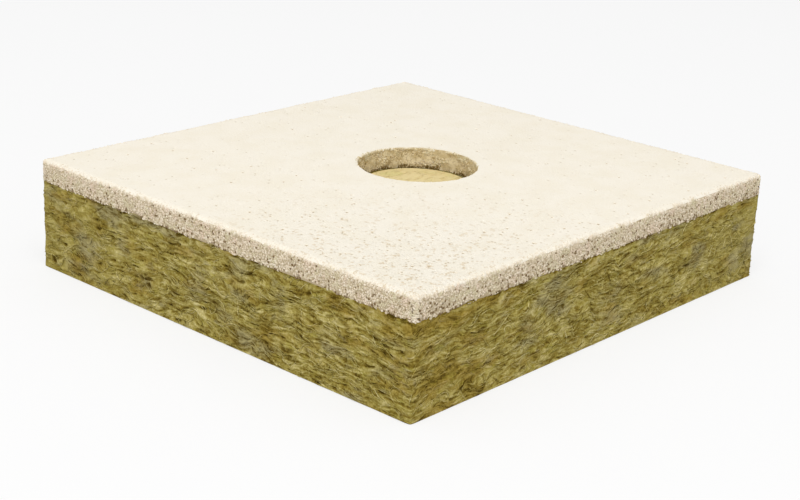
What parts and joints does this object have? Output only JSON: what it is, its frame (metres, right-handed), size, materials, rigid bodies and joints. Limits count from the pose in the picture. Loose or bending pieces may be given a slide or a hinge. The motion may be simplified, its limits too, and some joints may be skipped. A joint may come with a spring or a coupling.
{
  "type": "acoustic panel",
  "caption": "Flat two-layer acoustic panel: a porous bonded-granule facing board on a thick mineral wool slab, with a round cut-out through the board.",
  "frame": {"origin": "centre of the wool slab's flat back face", "axes": "+Z from the back face towards the finished face, +X along the panel's length, +Y along its width"},
  "size_m": [0.3, 0.28, 0.0628],
  "materials": {
    "bonded_granules": "matt, open-pored",
    "mineral_wool": "matted fibre"
  },
  "bodies": {
    "root": {"facing_board": "bonded_granules", "mineral_wool_slab": "mineral_wool"}
  },
  "joints": []
}
